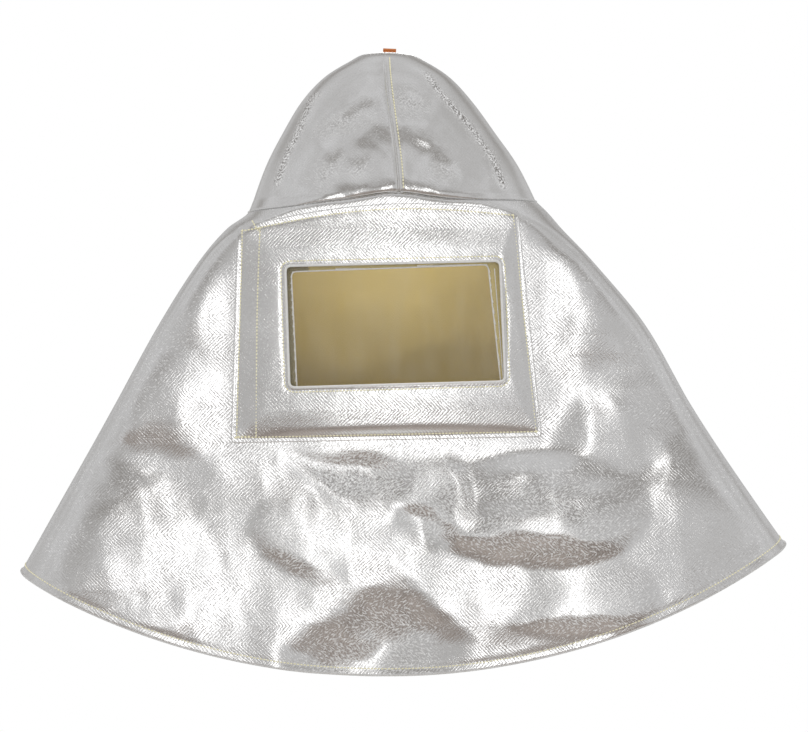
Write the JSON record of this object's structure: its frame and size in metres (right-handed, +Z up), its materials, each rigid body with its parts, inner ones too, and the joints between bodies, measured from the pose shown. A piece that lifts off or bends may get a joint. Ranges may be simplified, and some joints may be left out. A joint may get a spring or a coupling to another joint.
{
  "type": "aluminized hood",
  "caption": "Heat-protective hood of aluminized twill: a seamed crown on a flared cape that covers neck and shoulders, with a clear lens behind a stitched window frame.",
  "frame": {"origin": "inside top of the crown, where the wearer's head carries the hood", "axes": "+Z up, -Y the way the wearer looks, +X to the right as seen from the front"},
  "size_m": [0.7518, 0.2933, 0.6193],
  "materials": {
    "aluminized_cloth": "aluminized herringbone twill, satin silver outside, tan inside",
    "clear_lens": "clear polished sheet",
    "orange_tape": "woven tape"
  },
  "bodies": {
    "root": {"crown_left": "aluminized_cloth", "crown_right": "aluminized_cloth", "cape_front": "aluminized_cloth", "cape_back": "aluminized_cloth", "window_frame": "aluminized_cloth", "window_lens": "clear_lens", "crown_tab": "orange_tape"}
  },
  "joints": []
}
